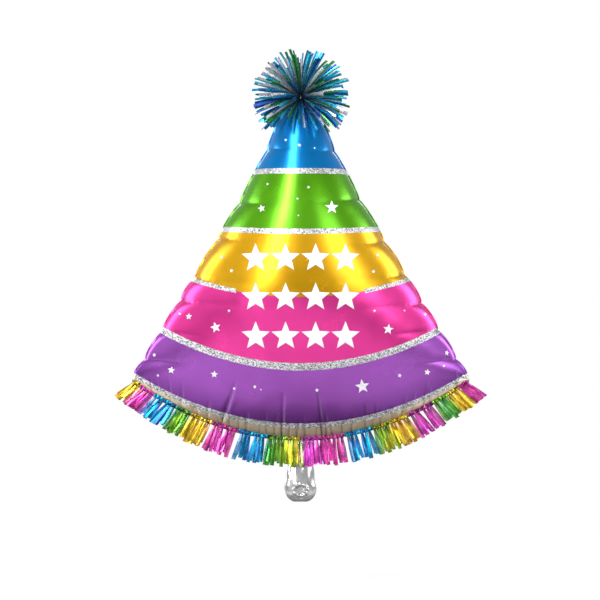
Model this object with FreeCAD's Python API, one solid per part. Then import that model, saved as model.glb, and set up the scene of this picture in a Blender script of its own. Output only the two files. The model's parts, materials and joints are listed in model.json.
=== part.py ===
"""A foil party-hat balloon: two printed film panels sealed round their edge, a self-sealing valve,
a filling neck, a tinsel fringe along the bottom seam and a tinsel pompom tied to the tip.

Units are millimetres. +Z is up, +X runs along the bottom seam, and -Y is the printed front.
The origin is the middle of the filling neck, where the ribbon that holds the balloon is tied.
Films are modelled thicker than the real 0.03 mm, so that they mesh as closed solids.
"""

import FreeCAD, Part
import math
import os

VECTOR = FreeCAD.Vector
OUT = "parts"

# The inflated hat.
HAT_HEIGHT = 559.0  # from the middle of the bottom seam up to the tip's seam
HALF_WIDTH = 287.0  # from the middle out to a bottom corner
CORNER_RISE = 99.0  # the bottom corners' height above the middle of the bottom seam
HALF_DEPTH = 95.0  # the largest half thickness, front to back
SEAM_Z = 36.0  # the middle of the bottom seam above the ribbon tie
TIP_HALF_WIDTH = 4.0  # the seam left at the very tip
SHOULDER = 0.44  # how far the tip is rounded out past a straight cone
SHOULDER_FADE = 10.0  # how soon that rounding fades down the hat
SAG_POWER = 2.0  # how soon the level lines of the film flatten out upwards
DEPTH_LOSS_LOW = 0.37  # the share of the depth lost towards the bottom seam
DEPTH_LOSS_HIGH = 0.28  # the share of the depth lost towards the tip
ROWS_ACROSS = 16  # spans of the panel surface from side to side
ROWS_UP = 18  # spans of the panel surface from bottom to top

# Films and the welded margin outside the inflated part.
FILM = 0.8
SIDE_MARGIN = 3.0
BOTTOM_MARGIN = 6.0
TAB_WIDTH = 14.0
TAB_HEIGHT = 11.0
TAB_HOLE_RADIUS = 1.9
TAB_HOLE_BELOW_TOP = 4.2
TAB_CORNER = 3.0

# The valve: two narrow films welded along their long edges, with an air gap between them.
VALVE_WIDTH = 38.0
VALVE_FILM = 0.3
VALVE_GAP = 0.4
VALVE_HEIGHT = 118.0  # how far it reaches up inside the hat, from the lower edge of the margin
VALVE_WELD = 3.0  # the width of each welded long edge

# The filling neck, a flat tube that ends in a rounded pouch.
NECK_SIDE_ROOM = 3.0  # from the valve's long edge to the neck's side
NECK_SWELL = 5.0  # how far the pouch stands out past the neck's top, each side
NECK_TOP_HALF_WIDTH = VALVE_WIDTH / 2 + NECK_SIDE_ROOM
NECK_HALF_WIDTH = NECK_TOP_HALF_WIDTH + NECK_SWELL
NECK_LENGTH = 102.0
NECK_TOP_HALF_DEPTH = 1.6
NECK_HALF_DEPTH = 9.0
NECK_GAP = 2.0  # below the welded margin, so that the neck can fold
NECK_INLET_END = 12.0  # how far above the filling hole the valve films end
FILL_HOLE_RADIUS = 6.5
FILL_HOLE_ABOVE_END = 20.0
# (share of the length from the top, share of the way to full width, share of the way to full depth)
NECK_STATIONS = (
    (0.0, 0.0, 0.0),
    (0.22, 0.0, 0.2),
    (0.42, 0.02, 0.4),
    (0.62, 0.45, 0.8),
    (0.785, 1.0, 1.0),
    (0.92, 0.66, 0.72),
)
NECK_END_HALF_WIDTH = 12.0
NECK_END_HALF_DEPTH = 1.6

# The tinsel fringe on the front of the bottom margin.
TAPE = 0.4
GATHER = 2.0
STRIP_WIDTH = 4.6
STRIP_PITCH = 3.9
STRIP_FILM = 0.3
STRIP_LAYER_GAP = 0.2
STRIP_LENGTH = 46.0
STRIP_SHORTER = (0.0, 5.0, 1.5, 7.0, 3.0)  # how much shorter each strip in turn is
HANG_GAP = 0.8  # between the gathered band and the line that the strips swing about
SECTION_GAP = 1.2  # kept free of strips between two sections
DRAPE_DEGREES = 12.0  # how far the strips in front of the neck lean forward on it
# Colour and share of the bottom seam's span at which each section of the fringe ends, from -1 to 1.
FRINGE_SECTIONS = (
    ("yellow", -0.955),
    ("pink", -0.875),
    ("blue", -0.74),
    ("green", -0.655),
    ("yellow", -0.53),
    ("pink", -0.37),
    ("blue", -0.20),
    ("green", -0.105),
    ("lime", 0.005),
    ("magenta", 0.105),
    ("pink", 0.26),
    ("blue", 0.43),
    ("lime", 0.53),
    ("yellow", 0.64),
    ("magenta", 0.79),
    ("green", 0.875),
    ("yellow", 0.945),
    ("pink", 1.0),
)

# The pompom and the wire that ties it to the tip's tab.
POMPOM_ABOVE_TAB = 7.6  # its centre above the top of the tab
CORE_RADIUS = 5.5
WAIST_RADIUS = 2.3
WAIST_HALF_WIDTH = 1.8
WIRE_RADIUS = 0.6
WIRE_LOOP_RADIUS = 3.2
POMPOM_ROOT = 6.6  # where the strips start, from the pompom's centre
POMPOM_FULL_WIDTH_AT = 30.0
POMPOM_RADIUS = 83.0
POMPOM_UNEVEN = (0.0, 4.0, 10.0, 2.0, 7.0, 13.0, 5.0)  # how much shorter each strip in turn is
POMPOM_STRIP_WIDTH = 5.4
POMPOM_ROOT_WIDTH = 1.1
POMPOM_FILM = 0.4
POMPOM_STRIPS = 132
POMPOM_OPEN_DEGREES = 52.0  # the angle round straight down that is left free for the hat
POMPOM_COLOURS = ("sky_blue", "deep_blue", "teal", "green", "silver")
POMPOM_COLOUR_STEP = 3  # so that neighbours differ in colour

GOLDEN_ANGLE = math.pi * (3 - math.sqrt(5))
HAT_TIP_Z = SEAM_Z + HAT_HEIGHT
MARGIN_BOTTOM_Z = SEAM_Z - BOTTOM_MARGIN
TAB_TOP_Z = HAT_TIP_Z + TAB_HEIGHT
TAB_HOLE_Z = TAB_TOP_Z - TAB_HOLE_BELOW_TOP
POMPOM_Z = TAB_TOP_Z + POMPOM_ABOVE_TAB
NECK_TOP_Z = MARGIN_BOTTOM_Z - NECK_GAP
NECK_END_Z = NECK_TOP_Z - NECK_LENGTH
FILL_HOLE_Z = NECK_END_Z + FILL_HOLE_ABOVE_END
NECK_INLET_Z = FILL_HOLE_Z + FILL_HOLE_RADIUS + NECK_INLET_END


def level(turn):
    """The share of the height for a turn from 0 at the bottom seam to pi at the tip."""
    return (1 - math.cos(turn)) / 2


def half_width(share, inset):
    """The hat's half width at a share of its height, taken in by inset."""
    down = 1 - share
    rounded = down + SHOULDER * math.sqrt(down) * math.exp(-SHOULDER_FADE * down)
    return TIP_HALF_WIDTH + (HALF_WIDTH - TIP_HALF_WIDTH) * rounded - inset


def half_depth(turn, inset):
    """The hat's half thickness at a turn, taken in by inset."""
    off = 2 * level(turn) - 1
    loss = DEPTH_LOSS_LOW if off < 0 else DEPTH_LOSS_HIGH
    return math.sin(turn) * (HALF_DEPTH * (1 - loss * off * off) - inset)


def side_z(share, inset):
    """The height of the side seam at a share of the hat's height."""
    low = SEAM_Z + CORNER_RISE + inset / 2
    high = HAT_TIP_Z - inset
    return low + (high - low) * share


def sag(share, inset):
    """How far the middle of a level line hangs below its ends."""
    return (CORNER_RISE - inset / 2) * (1 - share) ** SAG_POWER


def hat_point(across, turn, inset, side):
    """A point of the hat's film; across runs from 0 at the right seam to pi at the left one."""
    share = level(turn)
    return VECTOR(
        half_width(share, inset) * math.cos(across),
        side * half_depth(turn, inset) * math.sin(across),
        side_z(share, inset) - sag(share, inset) * math.sin(across) ** 2,
    )


def panel_face(inset, side):
    """One curved film surface, with all four edges in the plane of the seam."""
    rows = []
    for i in range(ROWS_ACROSS + 1):
        across = math.pi * i / ROWS_ACROSS
        turns = [math.pi * j / ROWS_UP for j in range(ROWS_UP + 1)]
        rows.append([hat_point(across, turn, inset, side) for turn in turns])
        rows[-1][0].y = 0
        rows[-1][-1].y = 0
    for point in rows[0] + rows[-1]:
        point.y = 0
    surface = Part.BSplineSurface()
    surface.interpolate(rows)
    return surface.toShape()


def closed(faces):
    """A solid from faces whose edges meet."""
    shell = Part.Shell(faces)
    shell.sewShape()
    solid = Part.Solid(shell)
    if solid.Volume < 0:
        solid.reverse()
    return solid


def hat_body(inset):
    """The inflated hat as a full solid, taken in by inset."""
    return closed([panel_face(inset, -1), panel_face(inset, 1)])


def half_space(side):
    """A block that takes in everything on one side of the seam's plane."""
    reach = HAT_HEIGHT + HALF_WIDTH
    low = VECTOR(-reach, min(0, side * reach), -reach)
    return box(low, VECTOR(reach, max(0, side * reach), reach))


def seam_z(x):
    """The height of the bottom seam at x."""
    return SEAM_Z + CORNER_RISE * (x / HALF_WIDTH) ** 2


def seam_outline(side_margin, bottom_margin, top_margin):
    """The closed outline in the seam's plane, moved out by the margins."""
    wide = half_width(0, -side_margin)
    low = seam_z(wide) - bottom_margin
    high = HAT_TIP_Z + top_margin
    shares = [level(math.pi * j / ROWS_UP) for j in range(ROWS_UP + 1)]
    right = [VECTOR(half_width(n, -side_margin), 0, low + (high - low) * n) for n in shares]
    left = [VECTOR(-point.x, 0, point.z) for point in reversed(right)]
    across = [-wide * math.cos(math.pi * i / ROWS_ACROSS) for i in range(ROWS_ACROSS + 1)]
    bottom = [VECTOR(x, 0, seam_z(x) - bottom_margin) for x in across]
    return Part.Wire([curve(bottom), curve(right), Part.makeLine(right[-1], left[0]), curve(left)])


def curve(points):
    """An edge through the points."""
    line = Part.BSplineCurve()
    line.interpolate(points)
    return line.toShape()


def box(low, high):
    """A box between two corners."""
    return Part.makeBox(high.x - low.x, high.y - low.y, high.z - low.z, low)


def valve_space():
    """The slot that the valve films take up between the two panels and in the neck."""
    half = VALVE_GAP / 2 + VALVE_FILM
    low = VECTOR(-VALVE_WIDTH / 2, -half, NECK_INLET_Z)
    high = VECTOR(VALVE_WIDTH / 2, half, MARGIN_BOTTOM_Z + VALVE_HEIGHT)
    return box(low, high)


def tip_tab(side):
    """The tab above the tip with the hole for the wire, one film thick."""
    low = HAT_TIP_Z - FILM
    half = TAB_WIDTH / 2
    plate = box(VECTOR(-half, 0, low), VECTOR(half, FILM, TAB_TOP_Z))
    corners = []
    for edge in plate.Edges:
        upright = abs(edge.tangentAt(edge.FirstParameter).y) > 0.9
        if upright and edge.CenterOfMass.z > TAB_TOP_Z - FILM / 2:
            corners.append(edge)
    plate = plate.makeFillet(min(TAB_CORNER, half - FILM), corners)
    hole = Part.makeCylinder(TAB_HOLE_RADIUS, 3 * FILM, VECTOR(0, -FILM, TAB_HOLE_Z), VECTOR(0, 1, 0))
    plate = plate.cut(hole)
    if side < 0:
        plate.translate(VECTOR(0, -FILM, 0))
    return plate


def margin(side):
    """The flat welded rim of one panel, which bites half a film into the curved part."""
    bite = -FILM / 2
    outer = Part.Face(seam_outline(SIDE_MARGIN, BOTTOM_MARGIN, SIDE_MARGIN))
    inner = Part.Face(seam_outline(bite, bite, bite))
    return outer.cut(inner).extrude(VECTOR(0, side * FILM, 0))


def panel(side):
    """One film panel: the curved part, its welded margin and its half of the tip's tab."""
    curved = hat_body(0).cut(hat_body(FILM)).common(half_space(side))
    return curved.fuse([margin(side), tip_tab(side)]).cut(valve_space()).removeSplitter()


def valve_film(side, low_z, high_z):
    """One valve film; its long edges are thick enough to meet the other film's."""
    inner = VALVE_GAP / 2
    half = VALVE_WIDTH / 2
    low_y, high_y = sorted((side * inner, side * (inner + VALVE_FILM)))
    sheet = box(VECTOR(-half, low_y, low_z), VECTOR(half, high_y, high_z))
    welds = []
    for sign in (-1, 1):
        low_x, high_x = sorted((sign * half, sign * (half - VALVE_WELD)))
        weld_low, weld_high = sorted((0, side * inner))
        welds.append(box(VECTOR(low_x, weld_low, low_z), VECTOR(high_x, weld_high, high_z)))
    return sheet.fuse(welds).removeSplitter()


def neck_body(inset):
    """The filling neck as a full solid, taken in by inset."""
    rings = []
    for along, wide, deep in NECK_STATIONS:
        z = NECK_TOP_Z - along * NECK_LENGTH
        x = NECK_TOP_HALF_WIDTH + wide * (NECK_HALF_WIDTH - NECK_TOP_HALF_WIDTH) - inset
        y = NECK_TOP_HALF_DEPTH + deep * (NECK_HALF_DEPTH - NECK_TOP_HALF_DEPTH) - inset
        rings.append(oval(x, y, z))
    rings.append(oval(NECK_END_HALF_WIDTH - inset, NECK_END_HALF_DEPTH - inset, NECK_END_Z + inset))
    return Part.makeLoft(rings, True)


def oval(half_x, half_y, z):
    """A level elliptical wire."""
    ellipse = Part.Ellipse(VECTOR(0, 0, z), half_x, half_y)
    return Part.Wire([ellipse.toShape()])


def neck_film(side):
    """The front or back film of the neck; the front one has the filling hole."""
    film = neck_body(0).cut(neck_body(FILM)).cut(neck_mouth()).common(half_space(side))
    film = film.cut(valve_space())
    if side < 0:
        reach = 2 * NECK_HALF_DEPTH
        hole = Part.makeCylinder(FILL_HOLE_RADIUS, reach, VECTOR(0, 0, FILL_HOLE_Z), VECTOR(0, -1, 0))
        film = film.cut(hole)
    return film


def neck_mouth():
    """The open space at the neck's upper end."""
    x = NECK_TOP_HALF_WIDTH - FILM
    y = NECK_TOP_HALF_DEPTH - FILM
    rim = Part.Face(oval(x, y, NECK_TOP_Z - FILM))
    return rim.extrude(VECTOR(0, 0, 3 * FILM))


def section_frame(index):
    """The start, end and middle of a fringe section along X, and the seam's direction at its middle."""
    start = -1.0 if index == 0 else FRINGE_SECTIONS[index - 1][1]
    low = start * HALF_WIDTH
    high = FRINGE_SECTIONS[index][1] * HALF_WIDTH
    middle = (low + high) / 2
    slope = 2 * CORNER_RISE * middle / HALF_WIDTH**2
    along = VECTOR(1, 0, slope).normalize()
    return low, high, middle, along


def covers_neck(low, high):
    """Whether a section of the fringe hangs in front of the neck."""
    return high > -NECK_TOP_HALF_WIDTH and low < NECK_TOP_HALF_WIDTH


def band(thickness, front, reach_up):
    """A strip of constant thickness along the bottom margin, with its back at y = front."""
    points = []
    for i in range(ROWS_ACROSS + 1):
        x = -HALF_WIDTH * math.cos(math.pi * i / ROWS_ACROSS)
        points.append(VECTOR(x, front, seam_z(x) - BOTTOM_MARGIN))
    low = curve(points)
    high = curve([point + VECTOR(0, 0, reach_up) for point in points])
    ends = [Part.makeLine(points[-1], points[-1] + VECTOR(0, 0, reach_up))]
    ends.append(Part.makeLine(points[0] + VECTOR(0, 0, reach_up), points[0]))
    return Part.Face(Part.Wire([low, ends[0], high, ends[1]])).extrude(VECTOR(0, -thickness, 0))


def fringe_strips(index):
    """The strips of one section of the fringe, hanging square to the seam in two layers."""
    low, high, middle, along = section_frame(index)
    down = VECTOR(along.z, 0, -along.x)
    pivot = fringe_pivot(index)
    reach = (high - low) / along.x / 2 - SECTION_GAP / 2 - STRIP_WIDTH / 2
    count = max(2, int(2 * reach / STRIP_PITCH) + 1)
    strips = []
    for k in range(count):
        place = -reach + 2 * reach * k / (count - 1)
        layer = 1 if k % 2 else -1
        offset = layer * (STRIP_FILM + STRIP_LAYER_GAP) / 2
        length = STRIP_LENGTH - STRIP_SHORTER[(k + 2 * index) % len(STRIP_SHORTER)]
        centre = pivot + along * place + VECTOR(0, offset, 0)
        corner = centre - along * (STRIP_WIDTH / 2) + VECTOR(0, STRIP_FILM / 2, 0)
        face = Part.makePolygon(
            [
                corner,
                corner + along * STRIP_WIDTH,
                corner + along * STRIP_WIDTH + down * length,
                corner + down * length,
                corner,
            ]
        )
        strips.append(Part.Face(face).extrude(VECTOR(0, -STRIP_FILM, 0)))
    group = Part.Compound(strips)
    if covers_neck(low, high):
        group.rotate(pivot, along, -DRAPE_DEGREES)
    return group


def fringe_pivot(index):
    """The point on the line that a section's strips swing about."""
    middle = section_frame(index)[2]
    y = -(FILM + TAPE + GATHER / 2)
    return VECTOR(middle, y, seam_z(middle) - BOTTOM_MARGIN - HANG_GAP)


def pompom_core():
    """The bound middle of the pompom's strips, with a waist for the wire."""
    centre = VECTOR(0, 0, POMPOM_Z)
    ball = Part.makeSphere(CORE_RADIUS, centre)
    start = centre - VECTOR(WAIST_HALF_WIDTH, 0, 0)
    groove = Part.makeCylinder(2 * CORE_RADIUS, 2 * WAIST_HALF_WIDTH, start, VECTOR(1, 0, 0))
    waist = Part.makeCylinder(WAIST_RADIUS, 2 * WAIST_HALF_WIDTH, start, VECTOR(1, 0, 0))
    return ball.cut(groove).fuse(waist)


def wire_tie():
    """The closed loop of wire through the tab's hole and round the pompom's waist."""
    low = TAB_HOLE_Z - TAB_HOLE_RADIUS / 3 + WIRE_LOOP_RADIUS
    bends = []
    for z, start in ((POMPOM_Z, 0), (low, 180)):
        ring = Part.makeTorus(WIRE_LOOP_RADIUS, WIRE_RADIUS, VECTOR(0, 0, z), VECTOR(1, 0, 0))
        keep_low = z if start == 0 else z - 2 * WIRE_LOOP_RADIUS
        keep = box(
            VECTOR(-WIRE_LOOP_RADIUS, -2 * WIRE_LOOP_RADIUS, keep_low),
            VECTOR(WIRE_LOOP_RADIUS, 2 * WIRE_LOOP_RADIUS, keep_low + 2 * WIRE_LOOP_RADIUS),
        )
        bends.append(ring.common(keep))
    for side in (-1, 1):
        foot = VECTOR(0, side * WIRE_LOOP_RADIUS, low)
        bends.append(Part.makeCylinder(WIRE_RADIUS, POMPOM_Z - low, foot, VECTOR(0, 0, 1)))
    return bends[0].fuse(bends[1:]).removeSplitter()


def pompom_directions():
    """Evenly spread directions over the ball, without the cone that the hat fills."""
    found = []
    lowest = -math.cos(math.radians(POMPOM_OPEN_DEGREES))
    for k in range(POMPOM_STRIPS):
        z = 1 - (1 - lowest) * (k + 0.5) / POMPOM_STRIPS
        level_radius = math.sqrt(1 - z * z)
        turn = k * GOLDEN_ANGLE
        found.append(VECTOR(level_radius * math.cos(turn), level_radius * math.sin(turn), z))
    return found


def pompom_strip(direction, length):
    """One strip, narrow where it is bound and full width further out."""
    sideways = VECTOR(0, 0, 1).cross(direction).normalize()
    thick = direction.cross(sideways).normalize()
    centre = VECTOR(0, 0, POMPOM_Z) - thick * (POMPOM_FILM / 2)
    root = POMPOM_ROOT_WIDTH / 2
    full = POMPOM_STRIP_WIDTH / 2
    outline = (
        (POMPOM_ROOT, root),
        (POMPOM_FULL_WIDTH_AT, full),
        (length, full),
        (length, -full),
        (POMPOM_FULL_WIDTH_AT, -full),
        (POMPOM_ROOT, -root),
        (POMPOM_ROOT, root),
    )
    points = [centre + direction * out + sideways * wide for out, wide in outline]
    return Part.Face(Part.makePolygon(points)).extrude(thick * POMPOM_FILM)


def pompom_strips():
    """The pompom's strips, grouped by colour."""
    groups = {colour: [] for colour in POMPOM_COLOURS}
    for k, direction in enumerate(pompom_directions()):
        colour = POMPOM_COLOURS[(k * POMPOM_COLOUR_STEP) % len(POMPOM_COLOURS)]
        length = POMPOM_RADIUS - POMPOM_UNEVEN[k % len(POMPOM_UNEVEN)]
        groups[colour].append(pompom_strip(direction, length))
    return {colour: Part.Compound(strips) for colour, strips in groups.items()}


def nodes():
    """Every node of the balloon by name."""
    made = {"front_panel": panel(-1), "back_panel": panel(1)}
    valve_top = MARGIN_BOTTOM_Z + VALVE_HEIGHT
    for side, name in ((-1, "front"), (1, "back")):
        made["valve_film_" + name] = valve_film(side, MARGIN_BOTTOM_Z, valve_top)
        made["valve_inlet_" + name] = valve_film(side, NECK_INLET_Z, NECK_TOP_Z)
        made["neck_film_" + name] = neck_film(side)
    made["fringe_tape"] = band(TAPE, -FILM, BOTTOM_MARGIN)
    made["fringe_gather_band"] = band(GATHER, -FILM - TAPE, BOTTOM_MARGIN)
    for index, (colour, _) in enumerate(FRINGE_SECTIONS):
        made[f"fringe_{index + 1:02d}_{colour}"] = fringe_strips(index)
    made["pompom_tie"] = wire_tie()
    made["pompom_core"] = pompom_core()
    for colour, strips in pompom_strips().items():
        made["pompom_strips_" + colour] = strips
    return made


def report(made):
    """Prints each node's size and the places that the record states."""
    for name, shape in made.items():
        size = shape.optimalBoundingBox()
        solids = len(shape.Solids)
        print(f"{name:24s} {solids:3d} solids {shape.Volume:10.1f} mm3 valid {shape.isValid()}"
              f" x {size.XMin:.1f} {size.XMax:.1f} y {size.YMin:.1f} {size.YMax:.1f}"
              f" z {size.ZMin:.1f} {size.ZMax:.1f}")
    print("fill hole z", FILL_HOLE_Z, "neck hinge z", NECK_TOP_Z, "tab hole z", TAB_HOLE_Z, "pompom z", POMPOM_Z)
    for index in range(len(FRINGE_SECTIONS)):
        low, high, middle, along = section_frame(index)
        pivot = fringe_pivot(index)
        print("pivot", index + 1, [round(n, 3) for n in pivot], [round(n, 5) for n in along], covers_neck(low, high))


def main():
    os.makedirs(OUT, exist_ok=True)
    made = nodes()
    for name, shape in made.items():
        shape.exportStep(os.path.join(OUT, name + ".step"))
    report(made)


main()
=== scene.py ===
"""The looks of the foil party-hat balloon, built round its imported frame.

Everything is in metres in the frame's axes: +Z up, +X along the bottom seam, -Y out of the printed
front. The films are creased skins over the frame's panels; the tinsel is many single folded strips.
"""

import json
import math
import random
from functools import cache

import bpy
import numpy as np
from bpy.props import FloatProperty, FloatVectorProperty, IntProperty, PointerProperty
from bpy.types import Operator, Panel, PropertyGroup
from mathutils import Matrix, Vector
from mathutils.bvhtree import BVHTree


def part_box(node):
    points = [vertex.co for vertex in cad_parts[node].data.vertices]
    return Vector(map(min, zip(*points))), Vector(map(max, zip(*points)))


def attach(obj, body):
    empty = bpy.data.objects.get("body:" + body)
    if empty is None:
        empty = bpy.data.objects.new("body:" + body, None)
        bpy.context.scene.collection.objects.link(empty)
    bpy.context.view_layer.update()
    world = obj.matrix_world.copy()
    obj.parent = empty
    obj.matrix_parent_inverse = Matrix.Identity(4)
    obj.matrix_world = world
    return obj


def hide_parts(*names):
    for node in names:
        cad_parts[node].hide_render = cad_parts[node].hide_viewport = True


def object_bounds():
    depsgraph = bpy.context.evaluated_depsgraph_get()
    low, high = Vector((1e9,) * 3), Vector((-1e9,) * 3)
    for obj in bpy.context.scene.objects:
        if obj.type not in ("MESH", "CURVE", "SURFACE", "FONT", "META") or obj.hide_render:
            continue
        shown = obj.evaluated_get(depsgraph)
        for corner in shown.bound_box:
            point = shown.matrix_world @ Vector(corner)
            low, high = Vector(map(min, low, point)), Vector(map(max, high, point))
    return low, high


bl_info = {
    "name": "Foil Party Hat Balloon",
    "version": (1, 0, 0),
    "blender": (4, 5, 0),
    "location": "3D View > Sidebar > Hat",
    "description": "Builds the films, print, fringe, pompom and neck of the balloon on its frame",
    "category": "Object",
}

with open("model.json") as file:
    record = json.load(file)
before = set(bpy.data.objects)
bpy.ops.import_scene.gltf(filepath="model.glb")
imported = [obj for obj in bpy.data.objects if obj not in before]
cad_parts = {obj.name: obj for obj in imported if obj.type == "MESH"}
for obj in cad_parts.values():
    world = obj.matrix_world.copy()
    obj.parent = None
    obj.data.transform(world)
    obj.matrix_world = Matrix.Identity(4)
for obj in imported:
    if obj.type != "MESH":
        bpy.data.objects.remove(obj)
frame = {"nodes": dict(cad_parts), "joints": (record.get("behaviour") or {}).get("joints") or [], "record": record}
CAD_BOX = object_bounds()
JOINTS = {joint["name"]: joint for joint in frame["joints"]}
BODIES = frame["record"]["behaviour"]["bodies"]

# Places read from the frame.
TAPE_LOW, TAPE_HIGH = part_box("fringe_tape")
FRONT_LOW, FRONT_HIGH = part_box("front_panel")
NECK_LOW, NECK_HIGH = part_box("neck_film_front")
CORE_LOW, CORE_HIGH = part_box("pompom_core")
BOTTOM_MARGIN = 0.006
TAB_HEIGHT = 0.011
HALF_WIDTH = TAPE_HIGH.x
CORNER_Z = TAPE_HIGH.z
SEAM_Z = TAPE_LOW.z + BOTTOM_MARGIN
CORNER_RISE = CORNER_Z - SEAM_Z
TIP_Z = FRONT_HIGH.z - TAB_HEIGHT
SIDE_HEIGHT = TIP_Z - CORNER_Z
HALF_DEPTH = -FRONT_LOW.y
POMPOM = (CORE_LOW + CORE_HIGH) / 2
FILL_HOLE = next(Vector(m["pos_m"]) for m in frame["record"]["mounts"] if m["name"] == "fill_port")

# The inflated shape, as in the frame's panels.
TIP_HALF_WIDTH = 0.004
SHOULDER = 0.44
SHOULDER_FADE = 10.0
DEPTH_LOSS_LOW = 0.37
DEPTH_LOSS_HIGH = 0.28
ROWS_ACROSS = 400
CENTRE_CROWDING = 0.085  # how much closer the rows stand in the middle
ROWS_UP = 260

# Where the side seams pucker, as shares of the side's height, and how the puckers run inwards.
SIDE_PUCKERS = (0.07, 0.176, 0.283, 0.376, 0.511, 0.654, 0.843)
SIDE_SHIFT = 0.007
LOBE_ROUNDNESS = 0.6
LOBE_REACH = 0.018
CREASE_REACH = 0.024
CREASE_WIDTH = 0.0034
# The width of the painted shade line along each side pucker's crease.
CREASE_SHADE_LINE = 0.0011
# The bottom seam's long creases: place along the seam as a share, length, and lean to the right.
LONG_CREASES = (
    (-0.472, 0.085, 0.026), (-0.114, 0.078, 0.002), (0.126, 0.082, -0.010), (0.152, 0.040, -0.003),
)
SHORT_CREASES = 34
SHORT_CREASE_LENGTHS = (0.018, 0.050)
SHORT_CREASE_LEANS = (-0.006, 0.006)
SHORT_CREASE_STRENGTHS = (0.35, 0.8)
BOTTOM_CREASE_WIDTH = 0.0032
DENT_SCALES = (0.09, 0.06, 0.042, 0.03)

# The welded margin outside the side seams, and the tab at the tip.
SIDE_MARGIN = 0.0030
MARGIN_LAP = 0.0006  # how far the margin reaches in under the films' edge
MARGIN_THICKNESS = 0.0003
MARGIN_COLUMNS = 5
MARGIN_RIPPLE = 0.0006
MARGIN_RIPPLE_STEP = 0.0052
TAB_HALF_WIDTH = 0.007
TAB_THICKNESS = 0.0012
TAB_LAP = 0.002
TAB_HOLE_RADIUS = 0.0019
TAB_RING = 28
WIRE_DIAMETER = 0.0012

# The printed lines: height at the middle, height at the seams, half width there, half thickness.
STRIPES = (
    (0.4850, 0.4860, 0.073, 0.0046),
    (0.3832, 0.3890, 0.133, 0.0044),
    (0.2740, 0.3010, 0.175, 0.0036),
    (0.1570, 0.2145, 0.229, 0.0062),
    (0.0560, 0.1415, 0.284, 0.0042),
)
STRIPE_GAP_HALF_WIDTH = 0.108  # the third stripe stops either side of the large stars
STRIPE_GAP_LINE = 2
# The hem band is darkened towards its lowest line, a painted shade in place of the dark floor that the film
# reflects there.
HEM_SHADE_START = 0.004
HEM_SHADE_REACH = 0.036
HEM_SHADE = 0.62
# Printed stars in the bands: across, up, radius.
STARS = (
    (-0.0250, 0.5382, 0.0028), (-0.0020, 0.5289, 0.0034), (0.0235, 0.5241, 0.0020),
    (-0.0553, 0.4632, 0.0026), (0.0131, 0.4570, 0.0028), (-0.0053, 0.4377, 0.0026),
    (-0.0651, 0.4221, 0.0066), (0.0520, 0.4236, 0.0118), (-0.0036, 0.4097, 0.0020),
    (-0.1328, 0.3415, 0.0036), (-0.1156, 0.3180, 0.0036), (0.1290, 0.3441, 0.0036), (0.1222, 0.3166, 0.0036),
    (-0.1197, 0.2510, 0.0028), (-0.2045, 0.2457, 0.0028), (-0.1884, 0.2411, 0.0056),
    (-0.1426, 0.2229, 0.0092),
    (0.1239, 0.2510, 0.0028), (0.1749, 0.2510, 0.0020), (0.2108, 0.2447, 0.0036), (0.1472, 0.2197, 0.0092),
    (-0.2482, 0.1755, 0.0034), (-0.2186, 0.1500, 0.0066), (-0.2419, 0.1411, 0.0028),
    (-0.1452, 0.1437, 0.0064),
    (-0.1119, 0.1197, 0.0028), (-0.0770, 0.1230, 0.0036), (-0.0666, 0.1182, 0.0020), (0.0275, 0.1172, 0.0036),
    (0.1040, 0.1235, 0.0125), (0.1671, 0.1417, 0.0036), (0.2144, 0.1468, 0.0056), (0.2431, 0.1573, 0.0028),
    (0.2482, 0.1790, 0.0046),
)
# The large stars in the middle of the hat: rows up, and how far apart they stand.
LARGE_STAR_ROWS = (0.3385, 0.2735, 0.2085)
LARGE_STARS_PER_ROW = 4
LARGE_STAR_PITCH = 0.0500
LARGE_STAR_RADIUS = 0.0248
STAR_INNER_SHARE = 0.44  # the inner corners' radius against the points'
STAR_STEP = 0.0022  # how fine a star is cut to follow the film
STAR_TURN = 0.25  # how far a small star may be turned
INK_RAISE = 0.00035
INK_THICKNESS = INK_RAISE * 0.8

FRINGE_BUNCH = 3  # strips that are gathered together
FRINGE_ROOT_LAP = 0.0010  # how far the strips start above the line that they swing about
FRINGE_STEPS = 7
FRINGE_LAYER_GAP = 0.0006
FRINGE_LAYER_SPREAD = 0.0016  # how much further apart the layers' lower ends stand
FRINGE_BUNCH_TIGHTNESS = 0.86
FRINGE_BUNCH_FAN = 9  # lean of a strip for each metre from its bunch's middle
FRINGE_END_FAN = 0.30  # how far the strips at the corners lean outwards
FRINGE_END_SHORTENING = 0.20
FRINGE_LENGTHS = (0.78, 1.03)
FRINGE_WIDTHS = (0.78, 1.08)
FRINGE_CURL = 0.0035
FRINGE_TWIST = 0.30
# Painted highlight and shade: how much lighter and darker the two halves of a folded strip are coloured.
FRINGE_PAINTED_FOLD_LIGHT = 0.6  # how much the two halves of a folded strip differ in light
FRINGE_BLEND_START = 0.26  # how far from a section's middle its colours start to mix with the next one's
GATHER_LAP = 0.0010  # how far the gathered band reaches below the tape
PLEAT_PITCH = 0.0026
PLEAT_WIDTH = 0.0030
PLEAT_BULGE = 0.0010
PLEAT_RAISE = 0.0003
PLEAT_STEPS = 3
# Painted shade and glints: how much darker or lighter each step of a pleat is coloured.
PLEAT_SHADE_AND_GLINT = (0.12, 0.45, 0.9, 1.4)

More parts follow.
